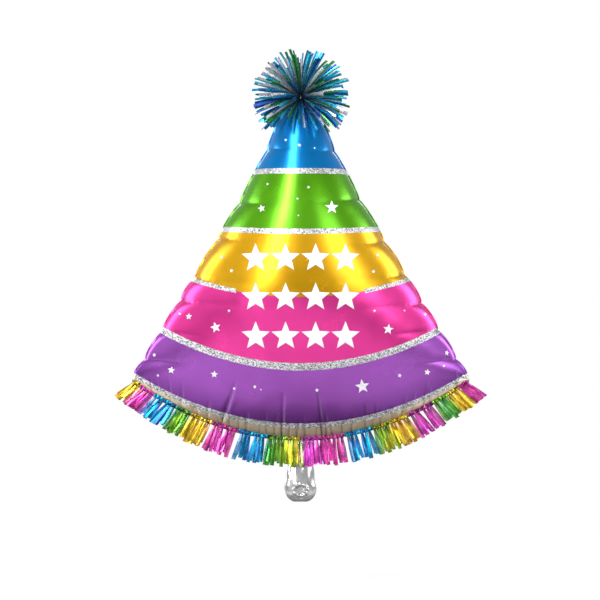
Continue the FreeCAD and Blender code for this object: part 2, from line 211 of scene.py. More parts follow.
# Tinsel colours, each a few shades of one film.
FRINGE_SHADES = {
    "yellow": ((0.84, 0.52, 0.01), (0.92, 0.68, 0.04), (0.60, 0.30, 0.01)),
    "pink": ((0.74, 0.03, 0.36), (0.86, 0.11, 0.44), (0.56, 0.03, 0.36)),
    "blue": ((0.00, 0.28, 0.62), (0.00, 0.42, 0.74), (0.01, 0.12, 0.44)),
    "green": ((0.10, 0.46, 0.02), (0.28, 0.58, 0.02), (0.03, 0.26, 0.05)),
    "lime": ((0.30, 0.46, 0.01), (0.15, 0.40, 0.01), (0.56, 0.42, 0.01)),
    "magenta": ((0.58, 0.03, 0.42), (0.72, 0.08, 0.46), (0.34, 0.03, 0.32)),
}
POMPOM_SHADES = {
    "sky_blue": ((0.01, 0.40, 0.78), (0.03, 0.52, 0.84)),
    "deep_blue": ((0.01, 0.07, 0.46), (0.01, 0.24, 0.66)),
    "teal": ((0.00, 0.24, 0.34), (0.01, 0.42, 0.56)),
    "green": ((0.02, 0.22, 0.04), (0.06, 0.36, 0.08)),
    "silver": ((0.96, 0.94, 1.00), (0.80, 0.74, 0.80)),
}
POMPOM_MIX = (24, 21, 17, 16, 22)  # how many strips of each colour
POMPOM_OPEN = math.radians(50)  # kept free round straight down, for the hat
POMPOM_TIP_OPEN = math.radians(44)  # the same at the tips of the strips
POMPOM_FLATTENING = 0.72  # front to back, against side to side
POMPOM_BACK_OPEN = math.radians(6)  # how much more is kept free at the back
POMPOM_STEPS = 8
POMPOM_REACHES = (0.82, 1.02)
POMPOM_WIDTHS = (0.0034, 0.0074)
POMPOM_DROOPS = (0.02, 0.12)
POMPOM_ROOT = 0.004  # where a strip leaves the binding, from the middle
POMPOM_ROOT_WIDTH = 0.0010
POMPOM_FULL_WIDTH_AT = 0.055
POMPOM_SCATTER = 0.05

# The filling neck's films: half widths and half depths at the top and how much the pouch adds.
NECK_COLUMNS = 120
NECK_ROWS = 110
NECK_TOP_HALF_WIDTH = 0.0222
NECK_POUCH_WIDTH = 0.0048
NECK_TOP_HALF_DEPTH = 0.0012
NECK_POUCH_DEPTH = 0.0074
NECK_POUCH_START = 0.30  # share of the height, from the top
NECK_TAIL_START = 0.80
NECK_FOLD_DEPTH = 0.0008
NECK_FOLD_PITCH = 0.0030
NECK_DENT_DEPTH = 0.0010
NECK_FILM_THICKNESS = 0.00025
# The puckered filling hole in the front film.
HOLE_RADIUS = 0.0058
HOLE_STRETCH = 1.2
HOLE_RIM_STRETCH = 1.25
HOLE_RIM_RADIUS = 0.0095
HOLE_RIM_HEIGHT = 0.0022
HOLE_RIM_WIDTH = 0.0020
HOLE_BOWL_RADIUS = 0.0078
HOLE_BOWL_DEPTH = 0.0034
HOLE_SPOKES = 9

# The stage.
FLOOR_BELOW = 0.16
FLOOR_RADIUS = 1.7
FLOOR_RINGS = 14
FLOOR_SPOKES = 72
CAMERA_PLACE = (-0.001, -4.0, 0.269)
CAMERA_LENS = 141.0
# Lights: name, place, what it points at, width and height, power.
LIGHTS = (
    ("key_low", (-1.25, -2.80, 0.80), (0.0, 0.0, 0.40), (0.60, 1.5), 34),
    ("key_middle", (-1.05, -2.20, 2.05), (0.0, 0.0, 0.45), (0.75, 1.6), 48),
    ("key_high", (-0.75, -1.10, 2.90), (0.0, 0.0, 0.50), (1.00, 1.4), 38),
    ("fill_right", (1.9, -2.4, 0.9), (0.0, 0.0, 0.25), (1.3, 1.6), 24),
    ("side_left", (-2.1, 0.3, 0.5), (0.0, 0.0, 0.25), (1.0, 1.8), 24),
    ("side_right", (2.1, 0.3, 0.5), (0.0, 0.0, 0.25), (1.0, 1.8), 24),
    ("behind", (0.0, 2.6, 1.2), (0.0, 0.0, 0.2), (1.6, 1.6), 34),
)


class HatSizes(PropertyGroup):
    """Sizes of the creases and the tinsel."""

    scallop: FloatProperty(
        name="Scallop",
        description="How far the side seams draw in at a pucker",
        default=0.0060, unit="LENGTH",
    )
    crease: FloatProperty(
        name="Crease", description="How deep the puckers fold into the film", default=0.0036, unit="LENGTH"
    )
    dent: FloatProperty(
        name="Dents", description="Height of the soft dents in the tight film", default=0.00025, unit="LENGTH"
    )
    strip_width: FloatProperty(
        name="Fringe strip", description="Width of a fringe strip", default=0.0072, unit="LENGTH"
    )
    strip_spacing: FloatProperty(
        name="Fringe spacing",
        description="Distance between fringe strips in a layer",
        default=0.0070, unit="LENGTH",
    )
    fringe_layers: IntProperty(
        name="Fringe layers", description="Layers of film in the fringe", default=3, min=1
    )
    pompom_strips: IntProperty(
        name="Pompom strips", description="Strips in the pompom", default=240, min=10
    )
    pompom_radius: FloatProperty(
        name="Pompom radius",
        description="Length of the pompom's longest strips",
        default=0.0860, unit="LENGTH",
    )


class HatColours(PropertyGroup):
    """Colours of the print and the bare film."""

    tip: FloatVectorProperty(
        name="Tip band",
        description="Colour of the band at the tip",
        default=(0.0, 0.25, 0.68), subtype="COLOR",
    )
    upper: FloatVectorProperty(
        name="Upper band",
        description="Colour of the second band",
        default=(0.11, 0.43, 0.002), subtype="COLOR",
    )
    middle: FloatVectorProperty(
        name="Middle band",
        description="Colour of the third band",
        default=(0.85, 0.45, 0.004), subtype="COLOR",
    )
    lower: FloatVectorProperty(
        name="Lower band",
        description="Colour of the fourth band",
        default=(0.93, 0.05, 0.36), subtype="COLOR",
    )
    hem: FloatVectorProperty(
        name="Hem band", description="Colour of the lowest band", default=(0.40, 0.10, 0.54), subtype="COLOR"
    )
    bare: FloatVectorProperty(
        name="Bare film",
        description="Colour of the unprinted film",
        default=(0.84, 0.68, 0.46), subtype="COLOR",
    )
    ink: FloatVectorProperty(
        name="White ink",
        description="Colour of the printed stars",
        default=(0.90, 0.90, 0.92), subtype="COLOR",
    )


def sizes():
    """The sizes that the panel shows."""
    return bpy.context.scene.hat_sizes


def colours():
    """The colours that the panel shows."""
    return bpy.context.scene.hat_colours


# ---------------------------------------------------------------- shapes of the film


def level(turn):
    """The share of the height for a turn from 0 at the bottom seam to pi at the tip."""
    return (1 - np.cos(turn)) / 2


def outline_half_width(share):
    """The hat's half width at a share of its height, before the puckers."""
    down = 1 - share
    rounded = down + SHOULDER * np.sqrt(down) * np.exp(-SHOULDER_FADE * down)
    return TIP_HALF_WIDTH + (HALF_WIDTH - TIP_HALF_WIDTH) * rounded


def seam_z(x):
    """The height of the bottom seam at x."""
    return SEAM_Z + CORNER_RISE * (x / HALF_WIDTH) ** 2


def side_puckers(sign):
    """The pucker heights of one side seam; the two sides differ a little."""
    shifted = [share + sign * SIDE_SHIFT * math.sin(9 * k) for k, share in enumerate(SIDE_PUCKERS)]
    return [0.0] + shifted + [1.02]


def lobe_and_crease(height_share, sign):
    """How far the seam bulges between its puckers, 0 to 1, and the distance to the nearest pucker."""
    puckers = side_puckers(sign)
    lobe = np.zeros_like(height_share)
    nearest = np.full_like(height_share, 1.0)
    for low, high in zip(puckers, puckers[1:]):
        inside = (height_share >= low) & (height_share < high)
        phase = np.clip((height_share - low) / (high - low), 0, 1)
        lobe = np.where(inside, np.sin(np.pi * phase) ** LOBE_ROUNDNESS, lobe)
    for share in puckers[1:-1]:
        nearest = np.minimum(nearest, np.abs(height_share - share))
    return lobe, nearest * SIDE_HEIGHT


def bottom_creases():
    """The creases that run up from the bottom seam: place, length, lean and strength."""
    rng = random.Random(7)
    creases = [(place * HALF_WIDTH, length, lean, 1.0) for place, length, lean in LONG_CREASES]
    for k in range(SHORT_CREASES):
        place = -0.97 + 1.94 * (k + 0.5 + rng.uniform(-0.3, 0.3)) / SHORT_CREASES
        length = rng.uniform(*SHORT_CREASE_LENGTHS)
        lean, strength = rng.uniform(*SHORT_CREASE_LEANS), rng.uniform(*SHORT_CREASE_STRENGTHS)
        creases.append((place * HALF_WIDTH, length, lean, strength))
    return creases


def soft_dents(x, z, seed):
    """A smooth unevenness between -1 and 1."""
    total = np.zeros_like(x)
    rng = random.Random(seed)
    for scale in DENT_SCALES:
        turn = rng.uniform(0, math.pi)
        wave = x * math.cos(turn) + z * math.sin(turn)
        total += np.sin(wave * 2 * math.pi / scale + rng.uniform(0, 6)) * scale / DENT_SCALES[0]
    return total / 2.2


def film_grid(side):
    """The grid of points of the front (-1) or back (1) film, as three arrays, and a fourth with the painted crease
    shade and highlight.
    """
    even = np.linspace(0, 1, ROWS_ACROSS + 1)
    across, turn = np.meshgrid(
        math.pi * (even + CENTRE_CROWDING * np.sin(2 * math.pi * even)),
        np.linspace(0, math.pi, ROWS_UP + 1),
        indexing="ij",
    )
    share = level(turn)
    cos, sin = np.cos(across), np.sin(across)
    z = CORNER_Z + SIDE_HEIGHT * share - CORNER_RISE * (1 - share) ** 2 * sin**2
    width = outline_half_width(share)
    off = 2 * share - 1
    loss = np.where(off < 0, DEPTH_LOSS_LOW, DEPTH_LOSS_HIGH)
    depth = np.sin(turn) * HALF_DEPTH * (1 - loss * off**2)
    x = width * cos
    y = depth * sin
    x, y, side_crease_shade = pucker_sides(x, y, z, width, cos)
    y, bottom_crease_shade = crease_bottom(x, y, z, side)
    slack = np.clip(1.6 - 14 * np.minimum(y, 0.10), 0.5, 1.6)
    y = y + np.clip(y / 0.02, 0, 1) * sizes().dent * slack * soft_dents(x, z, 3 + side)
    y = np.maximum(y, 0) * np.where(np.abs(sin) < 1e-9, 0, 1)
    y[:, 0] = 0
    y[:, -1] = 0
    return x, side * y, z, side_crease_shade + bottom_crease_shade


def pucker_sides(x, y, z, width, cos):
    """Draws the side seams in at their puckers and folds the film there, and gives a mask of painted shade along
    each pucker's crease.
    """
    share = (z - CORNER_Z) / SIDE_HEIGHT
    distance = width * (1 - np.abs(cos))
    folded = np.zeros_like(x)
    for sign in (-1, 1):
        here = (cos * sign) > 0
        lobe, nearest = lobe_and_crease(share + 0.06 * distance / HALF_WIDTH, sign)
        dip = np.where(share < 0, np.exp(np.minimum(share, 0) / 0.01), 1 - lobe)
        lower = 0.55 + 0.45 * np.clip(width / 0.15, 0, 1)
        draw = sizes().scallop * lower * (dip - 0.22) * np.exp(-distance / LOBE_REACH)
        fold = sizes().crease * 0.55 * lower
        fold = fold * np.exp(-nearest / CREASE_WIDTH) * np.exp(-distance / CREASE_REACH)
        x = np.where(here, x - sign * (draw + fold * 0.5) * np.minimum(1, width / 0.05), x)
        squeeze = 1 - 0.05 * dip * np.exp(-distance / LOBE_REACH)
        y = np.where(here, y * squeeze - fold * np.clip(y / 0.01, 0, 1), y)
        # Painted shade: a dark line along each pucker's crease, which the film's material reads.
        line = np.exp(-nearest / CREASE_SHADE_LINE) * np.exp(-distance / CREASE_REACH)
        folded = np.where(here, 1.1 * line, folded)
    return x, y, folded


def crease_bottom(x, y, z, side):
    """Folds the film at the creases that run up from the bottom seam, and gives a mask of painted shade in each
    crease with a painted highlight beside it.
    """
    above = z - seam_z(x)
    folded = np.zeros_like(x)
    for place, length, lean, strength in bottom_creases():
        mirrored = place if side < 0 else -place
        centre = mirrored + lean * np.clip(above / length, 0, 1)
        fade = np.clip(1 - above / length, 0, 1) ** 0.8
        offset = (x - centre) / BOTTOM_CREASE_WIDTH
        valley = np.exp(-np.abs(offset)) - 0.35 * np.exp(-((offset - 2.2) ** 2) / 2)
        y = y - strength * sizes().crease * 0.9 * valley * fade * np.clip(y / 0.012, 0, 1)
        # Painted shade in each crease's valley, less a painted highlight on its flank.
        dark = 1.5 * np.exp(-np.abs(offset) / 0.35)
        pale = 0.45 * np.exp(-((offset - 1.3) ** 2) / 0.12)
        folded += strength * fade * (dark - pale)
    return y, folded


# ---------------------------------------------------------------- mesh helpers


def new_piece(name, verts, faces, smooth=True):
    """A mesh object in the scene."""
    mesh = bpy.data.meshes.new(name)
    mesh.from_pydata([tuple(v) for v in verts], [], faces)
    mesh.validate()
    if smooth:
        mesh.polygons.foreach_set("use_smooth", [True] * len(mesh.polygons))
    mesh.update()
    piece = bpy.data.objects.new(name, mesh)
    bpy.context.scene.collection.objects.link(piece)
    return piece


def grid_faces(rows, columns, flip=False):
    """Quads over a grid of rows by columns of points."""
    faces = []
    for i in range(rows - 1):
        for j in range(columns - 1):
            a, b = i * columns + j, (i + 1) * columns + j
            quad = (a, b, b + 1, a + 1)
            faces.append(quad[::-1] if flip else quad)
    return faces


def grid_piece(name, x, y, z, flip=False):
    """A mesh object from three arrays of a grid."""
    verts = np.stack([x.ravel(), y.ravel(), z.ravel()], axis=1)
    return new_piece(name, verts, grid_faces(x.shape[0], x.shape[1], flip))


def finish_piece(piece, body, material, nodes=()):
    """Gives a piece its material, its body and the frame's nodes that it stands for."""
    piece.data.materials.clear()
    piece.data.materials.append(material)
    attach(piece, body)
    if nodes:
        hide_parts(*nodes)


def apply_modifier(piece, kind, **settings):
    """Adds a modifier to the piece and applies it."""
    modifier = piece.modifiers.new(kind.title(), kind)
    for key, value in settings.items():
        setattr(modifier, key, value)
    bpy.context.view_layer.update()
    depsgraph = bpy.context.evaluated_depsgraph_get()
    done = bpy.data.meshes.new_from_object(piece.evaluated_get(depsgraph))
    old = piece.data
    piece.modifiers.clear()
    piece.data = done
    bpy.data.meshes.remove(old)


class Tinsel:
    """Collects folded strips of film, with their colours and their painted light and shade, into one mesh."""

    def __init__(self, seed):
        self.rng = random.Random(seed)
        self.verts = []
        self.faces = []
        self.tints = []

    def strip(self, points, across, widths, fold, tints, painted_fold_light=0.0):
        """Adds one strip through the points; across is its width's direction at each point. The last argument sets
        how much lighter and darker its two halves are painted, a painted highlight and shade.
        """
        first = len(self.verts)
        flip = self.rng.choice((-1, 1))
        for k, point in enumerate(points):
            ahead = points[min(k + 1, len(points) - 1)] - points[max(k - 1, 0)]
            ridge = ahead.cross(across[k]).normalized() * fold * widths[k]
            half = across[k] * (widths[k] / 2)
            self.verts.extend([point - half, point + ridge, point + half])
            # Painted highlight and shade: one half of the folded strip is coloured lighter and the other darker.
            light = [min(1, c * (1 + 0.6 * painted_fold_light) + 0.10 * painted_fold_light) for c in tints[k]]
            dark = [c * (1 - 0.65 * painted_fold_light) for c in tints[k]]
            self.tints.extend([light, tints[k], dark][::flip])
        for k in range(len(points) - 1):
            a = first + 3 * k
            self.faces.append((a, a + 1, a + 4, a + 3))
            self.faces.append((a + 1, a + 2, a + 5, a + 4))

    def piece(self, name):
        """The collected strips as one object."""
        made = new_piece(name, self.verts, self.faces, smooth=False)
        tint = made.data.color_attributes.new("tint", "FLOAT_COLOR", "POINT")
        values = [channel for tone in self.tints for channel in (*tone, 1.0)]
        tint.data.foreach_set("color", values)
        return made


# ---------------------------------------------------------------- shader helpers


class Graph:
    """Adds nodes to a shader tree and links them."""

    def __init__(self, tree):
        self.tree = tree

    def add(self, kind, inputs=None, **settings):
        """A node with its settings and inputs; an input is a value or another node's output."""
        node = self.tree.nodes.new(kind)
        for key, value in settings.items():
            setattr(node, key, value)
        for key, value in (inputs or {}).items():
            if isinstance(value, bpy.types.NodeSocket):
                self.tree.links.new(value, node.inputs[key])
            else:
                node.inputs[key].default_value = value
        return node

    def math(self, operation, *values, clamp=False):
        """The output of a Math node."""
        node = self.add("ShaderNodeMath", dict(enumerate(values)), operation=operation, use_clamp=clamp)
        return node.outputs[0]

    def mix(self, factor, low, high):
        """The output of a colour mix."""
        return self.add("ShaderNodeMix", {0: factor, 6: low, 7: high}, data_type="RGBA").outputs[2]

    def ramp(self, factor, low, high):
        """The factor, stretched so that low becomes 0 and high becomes 1."""
        return self.add("ShaderNodeMapRange", {0: factor, 1: low, 2: high}).outputs[0]


def colour4(value):
    """A colour with its alpha."""
    return (*value, 1.0)


def new_material(name):
    """A material with one Principled shader, and its graph."""
    material = bpy.data.materials.new(name)
    material.use_nodes = True
    material.node_tree.nodes.clear()
    graph = Graph(material.node_tree)
    shader = graph.add("ShaderNodeBsdfPrincipled")
    output = graph.add("ShaderNodeOutputMaterial")
    material.node_tree.links.new(shader.outputs[0], output.inputs[0])
    return material, graph, shader


def set_inputs(graph, shader, **inputs):
    """Sets the shader's sockets by name, with spaces written as underscores."""
    for key, value in inputs.items():
        socket = shader.inputs[key.replace("_", " ")]
        if isinstance(value, bpy.types.NodeSocket):
            graph.tree.links.new(value, socket)
        else:
            socket.default_value = value


def object_point(graph):
    """The place on the surface, in metres in the frame's axes."""
    return graph.add("ShaderNodeTexCoord").outputs["Object"]


def new_group(name, inputs, outputs):
    """A shader node group with its sockets: the tree, its graph, its inputs and its output node."""
    tree = bpy.data.node_groups.new(name, "ShaderNodeTree")
    for socket, kind, value in inputs:
        made = tree.interface.new_socket(socket, in_out="INPUT", socket_type=kind)
        if value is not None:
            made.default_value = value
    for socket, kind in outputs:
        tree.interface.new_socket(socket, in_out="OUTPUT", socket_type=kind)
    graph = Graph(tree)
    return tree, graph, graph.add("NodeGroupInput").outputs, graph.add("NodeGroupOutput")


@cache
def glitter_group():
    """Flakes of glitter: a colour, a roughness and a height for each flake; the flakes' random brightness, from
    near black to white, is painted sparkle.
    """
    tree, graph, given, out = new_group(
        "Glitter",
        [("Vector", "NodeSocketVector", None), ("Flakes", "NodeSocketFloat", 700.0)],
        [("Colour", "NodeSocketColor"), ("Roughness", "NodeSocketFloat"), ("Height", "NodeSocketFloat")],
    )
    cells = graph.add("ShaderNodeTexVoronoi", {"Vector": given["Vector"], "Scale": given["Flakes"]})
    shade = graph.add("ShaderNodeSeparateColor", {0: cells.outputs["Color"]}).outputs
    hue = graph.add("ShaderNodeCombineColor", {0: shade[1], 1: 0.16, 2: 1.0}, mode="HSV").outputs[0]
    # Painted sparkle: each flake is made bright or dark at random, in place of flakes that catch or miss the
    # light.
    painted_sparkle = graph.ramp(shade[0], 0.0, 0.9)
    light = graph.mix(painted_sparkle, (0.07, 0.07, 0.08, 1), hue)
    tree.links.new(light, out.inputs["Colour"])
    tree.links.new(graph.ramp(shade[2], -0.6, 1.6), out.inputs["Roughness"])
    tree.links.new(shade[2], out.inputs["Height"])
    return tree


@cache
def crinkle_group():
    """Fine crinkles and haze of metallised film: a height and a haze value."""
    tree, graph, given, out = new_group(
        "Film Crinkle",
        [
            ("Vector", "NodeSocketVector", None),
            ("Fine", "NodeSocketFloat", 260.0),
            ("Broad", "NodeSocketFloat", 28.0),
        ],
        [("Height", "NodeSocketFloat"), ("Haze", "NodeSocketFloat")],
    )
    place = given["Vector"]
    fine = graph.add("ShaderNodeTexNoise", {"Vector": place, "Scale": given["Fine"], "Detail": 3.0})
    broad = graph.add("ShaderNodeTexNoise", {"Vector": place, "Scale": given["Broad"], "Detail": 2.0})
    height = graph.math("ADD", graph.math("MULTIPLY", fine.outputs[0], 0.25), broad.outputs[0])
    tree.links.new(height, out.inputs["Height"])
    tree.links.new(graph.ramp(broad.outputs[0], 0.3, 0.7), out.inputs["Haze"])
    return tree


def place_group(graph, tree, **inputs):
    """One use of a node group."""
    node = graph.add("ShaderNodeGroup", node_tree=tree)
    for key, value in inputs.items():
        if isinstance(value, bpy.types.NodeSocket):
            graph.tree.links.new(value, node.inputs[key])
        else:
            node.inputs[key].default_value = value
    return node


@cache
def print_and_hem_shade_group():
    """The hat's print, with a painted shade over the lower part of the hem band: the bands' colour, a mask for the
    glitter stripes and one for the bare film.
    """
    tree, graph, given, out = new_group(
        "Hat Print and Hem Shade",
        [("Vector", "NodeSocketVector", None)],
        [("Colour", "NodeSocketColor"), ("Glitter", "NodeSocketFloat"), ("Bare", "NodeSocketFloat")],
    )
    x, _, z = graph.add("ShaderNodeSeparateXYZ", {0: given["Vector"]}).outputs
    square = graph.math("MULTIPLY", x, x)
    bands = [colours().upper, colours().middle, colours().lower, colours().hem, colours().bare]
    colour = colour4(colours().tip)
    glitter = 0.0
    bare = 0.0
    clear_of_stars = graph.math("GREATER_THAN", graph.math("ABSOLUTE", x), STRIPE_GAP_HALF_WIDTH)
    for k, (middle, edge, half, thick) in enumerate(STRIPES):
        line = graph.math("MULTIPLY_ADD", square, (edge - middle) / half**2, middle)
        offset = graph.math("SUBTRACT", z, line)
        below = graph.math("LESS_THAN", offset, 0.0)
        colour = graph.mix(below, colour, colour4(bands[k]))
        bare = below
        inside = graph.math("LESS_THAN", graph.math("ABSOLUTE", offset), thick)
        if k == STRIPE_GAP_LINE:
            inside = graph.math("MULTIPLY", inside, clear_of_stars)
        glitter = graph.math("MAXIMUM", glitter, inside)
    # Painted shade: the hem band darkens towards its lowest line, in place of the dark floor that the film
    # reflects.
    rise = graph.math("SUBTRACT", offset, HEM_SHADE_START)
    near = graph.ramp(rise, HEM_SHADE_REACH, 0.0)
    shaded = graph.math("MULTIPLY", near, graph.math("SUBTRACT", 1.0, below))
    colour = graph.mix(graph.math("MULTIPLY", shaded, HEM_SHADE), colour, (0.10, 0.015, 0.20, 1))
    tree.links.new(colour, out.inputs["Colour"])
    tree.links.new(glitter, out.inputs["Glitter"])
    tree.links.new(bare, out.inputs["Bare"])
    return tree


# ---------------------------------------------------------------- materials


@cache
def printed_film():
    """Metallised film with the hat's printed bands and glitter stripes, with painted shade in its creases and a
    painted highlight beside them.
    """
    material, graph, shader = new_material("Printed film")
    point = object_point(graph)
    pattern = place_group(graph, print_and_hem_shade_group(), Vector=point)
    flakes = place_group(graph, glitter_group(), Vector=point, Flakes=620.0)
    crinkle = place_group(graph, crinkle_group(), Vector=point, Fine=300.0, Broad=22.0)
    mottled = graph.add(
        "ShaderNodeHueSaturation",
        {"Color": pattern.outputs["Colour"], "Value": graph.ramp(crinkle.outputs["Haze"], -7.0, 1.4)},
    ).outputs[0]
    printed = graph.mix(pattern.outputs["Glitter"], mottled, flakes.outputs["Colour"])
    # Painted shade and highlight: the fold attribute darkens the print in the creases and lightens it beside them.
    fold = graph.add("ShaderNodeAttribute", attribute_name="fold").outputs["Fac"]
    crease_shaded = graph.mix(graph.math("MULTIPLY", fold, 0.80, clamp=True), printed, (0.02, 0.015, 0.03, 1))
    base = graph.mix(graph.math("MULTIPLY", fold, -0.9, clamp=True), crease_shaded, (0.85, 0.80, 0.88, 1))
    film_roughness = graph.add(
        "ShaderNodeMapRange", {0: crinkle.outputs["Haze"], 3: 0.24, 4: 0.28}
    ).outputs[0]
    bare_roughness = graph.math("MULTIPLY_ADD", pattern.outputs["Bare"], -0.03, film_roughness)
    roughness = graph.add(
        "ShaderNodeMix", {0: pattern.outputs["Glitter"], 2: bare_roughness, 3: flakes.outputs["Roughness"]}
    ).outputs[0]
    metal = graph.add("ShaderNodeMapRange", {0: pattern.outputs["Bare"], 3: 0.70, 4: 0.60}).outputs[0]
    relief = graph.add(
        "ShaderNodeMix",
        {0: pattern.outputs["Glitter"], 2: crinkle.outputs["Height"], 3: flakes.outputs["Height"]},
    ).outputs[0]
    bump = graph.add("ShaderNodeBump", {"Height": relief, "Strength": 0.10, "Distance": 0.0003})
    set_inputs(
        graph, shader, Base_Color=base, Roughness=roughness, Metallic=metal, Normal=bump.outputs[0],
        Coat_Weight=0.08, Coat_Roughness=0.16,
    )
    return material


@cache
def star_ink():
    """Opaque white ink with a faint unevenness."""
    material, graph, shader = new_material("White ink")
    crinkle = place_group(graph, crinkle_group(), Vector=object_point(graph), Fine=700.0, Broad=60.0)
    tone = graph.mix(crinkle.outputs["Haze"], colour4(colours().ink), (0.78, 0.78, 0.83, 1))
    set_inputs(
        graph, shader, Base_Color=tone, Roughness=0.32, Metallic=0.0, Coat_Weight=0.3, Coat_Roughness=0.1
    )
    return material


@cache
def tinsel_film():
    """Thin metallised film, coloured strip by strip with colours that carry painted light and shade, with
    lengthwise crinkles.
    """
    material, graph, shader = new_material("Tinsel")
    tint = graph.add("ShaderNodeVertexColor", layer_name="tint").outputs["Color"]
    crinkle = place_group(graph, crinkle_group(), Vector=object_point(graph), Fine=210.0, Broad=70.0)
    tone = graph.add(
        "ShaderNodeHueSaturation", {"Color": tint, "Value": graph.ramp(crinkle.outputs["Haze"], -2.2, 1.3)}
    ).outputs[0]
    bump = graph.add(
        "ShaderNodeBump", {"Height": crinkle.outputs["Height"], "Strength": 0.35, "Distance": 0.0010}
    )
    roughness = graph.add("ShaderNodeMapRange", {0: crinkle.outputs["Haze"], 3: 0.20, 4: 0.36}).outputs[0]
    set_inputs(graph, shader, Base_Color=tone, Roughness=roughness, Metallic=0.75, Normal=bump.outputs[0])
    return material


@cache
def clear_film(name, alpha_low, alpha_high):
    """Grey see-through film that is denser where it folds."""
    material, graph, shader = new_material(name)
    crinkle = place_group(graph, crinkle_group(), Vector=object_point(graph), Fine=240.0, Broad=45.0)
    tone = graph.mix(crinkle.outputs["Haze"], (0.52, 0.52, 0.51, 1), (0.84, 0.84, 0.83, 1))
    edge = graph.add("ShaderNodeLayerWeight", {"Blend": 0.35}).outputs["Facing"]
    alpha = graph.add("ShaderNodeMapRange", {0: edge, 3: alpha_low, 4: alpha_high}).outputs[0]
    bump = graph.add(
        "ShaderNodeBump", {"Height": crinkle.outputs["Height"], "Strength": 0.3, "Distance": 0.0008}
    )
    set_inputs(
        graph, shader, Base_Color=tone, Roughness=0.16, Metallic=0.7, Alpha=alpha, Normal=bump.outputs[0],
        Coat_Weight=0.4, Coat_Roughness=0.06,
    )
    return material


@cache
def plain_metal(name, low, high, roughness):
    """Metal or metallised tape with fine streaks."""
    material, graph, shader = new_material(name)
    crinkle = place_group(graph, crinkle_group(), Vector=object_point(graph), Fine=900.0, Broad=140.0)
    tone = graph.mix(crinkle.outputs["Haze"], colour4(low), colour4(high))
    bump = graph.add(
        "ShaderNodeBump", {"Height": crinkle.outputs["Height"], "Strength": 0.4, "Distance": 0.0003}
    )
    set_inputs(graph, shader, Base_Color=tone, Roughness=roughness, Metallic=0.95, Normal=bump.outputs[0])
    return material


# ---------------------------------------------------------------- operators


class HAT_OT_films(Operator):
    """Builds the front and back films with their puckers and creases"""

    bl_idname = "hat.films"
    bl_label = "Films"

    def execute(self, context):
        for side, name in ((-1, "front"), (1, "back")):
            x, y, z, fold = film_grid(side)
            piece = grid_piece(name + "_film", x, y, z, flip=side > 0)
            # The fold attribute holds the painted crease shade and highlight that the film's material uses.
            piece.data.attributes.new("fold", "FLOAT", "POINT").data.foreach_set("value", fold.ravel())
            finish_piece(piece, "balloon", printed_film(), [name + "_panel"])
        return {"FINISHED"}


def seam_path():
    """The seam's points from the tip down the right side, along the bottom and up the left side."""
    x, _, z, _ = film_grid(-1)
    right = [Vector((x[0, j], 0, z[0, j])) for j in range(ROWS_UP, 0, -1)]
    bottom = [Vector((x[i, 0], 0, z[i, 0])) for i in range(ROWS_ACROSS + 1)]
    left = [Vector((x[-1, j], 0, z[-1, j])) for j in range(1, ROWS_UP + 1)]
    return right, bottom, left


class HAT_OT_seam(Operator):
    """Builds the welded margin outside the seam and the tab at the tip"""

    bl_idname = "hat.seam"
    bl_label = "Seam margin"

    def execute(self, context):
        right, bottom, left = seam_path()
        self.margin("seam_margin_right", right, SIDE_MARGIN, MARGIN_RIPPLE)
        self.margin("seam_margin_bottom", bottom, BOTTOM_MARGIN, 0.0)
        self.margin("seam_margin_left", left, SIDE_MARGIN, MARGIN_RIPPLE)
        self.tab()
        return {"FINISHED"}

    def margin(self, name, path, width, ripple_height):
        """A thin flat strip outside the seam; the side ones ripple."""
        rows = []
        travelled = 0.0
        for k, point in enumerate(path):
            ahead = (path[min(k + 2, len(path) - 1)] - path[max(k - 2, 0)]).normalized()
            outward = Vector((-ahead.z, 0, ahead.x))
            if name.endswith("bottom"):
                outward = Vector((0, 0, -1))
            travelled += (point - path[max(k - 1, 0)]).length
            for column in range(MARGIN_COLUMNS):
                out = width * column / (MARGIN_COLUMNS - 1)
                ripple = ripple_height * (out / width) * math.sin(travelled / MARGIN_RIPPLE_STEP)
                rows.append(point + outward * (out - MARGIN_LAP) + Vector((0, ripple, 0)))
        piece = new_piece(name, rows, grid_faces(len(path), MARGIN_COLUMNS))
        apply_modifier(piece, "SOLIDIFY", thickness=MARGIN_THICKNESS, offset=0.0)
        finish_piece(piece, "balloon", printed_film())

    def tab(self):
        """The small tab above the tip, with the hole for the wire."""
        tie_low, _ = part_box("pompom_tie")
        hole = Vector((0, 0, tie_low.z + WIRE_DIAMETER))
        top, low = FRONT_HIGH.z, TIP_Z - TAB_LAP
        verts, faces = [], []
        for k in range(TAB_RING):
            turn = 2 * math.pi * k / TAB_RING
            way = Vector((math.sin(turn), 0, math.cos(turn)))
            reach_x = TAB_HALF_WIDTH / abs(way.x) if abs(way.x) > 1e-6 else 1
            reach_z = (top - hole.z if way.z > 0 else hole.z - low) / max(abs(way.z), 1e-6)
            verts.append(hole + way * TAB_HOLE_RADIUS)
            verts.append(hole + way * min(reach_x, reach_z))
        for k in range(TAB_RING):
            a, b = 2 * k, 2 * ((k + 1) % TAB_RING)
            faces.append((a, a + 1, b + 1, b))
        piece = new_piece("tip_tab", verts, faces)
        apply_modifier(piece, "SOLIDIFY", thickness=TAB_THICKNESS, offset=0.0)
        finish_piece(piece, "balloon", printed_film())


def star_outline(radius, turn):
    """The ten corners of a five-pointed star."""
    corners = []
    for k in range(10):
        reach = radius if k % 2 == 0 else radius * STAR_INNER_SHARE
        angle = turn + math.pi * k / 5
        corners.append((reach * math.sin(angle), reach * math.cos(angle)))
    return corners


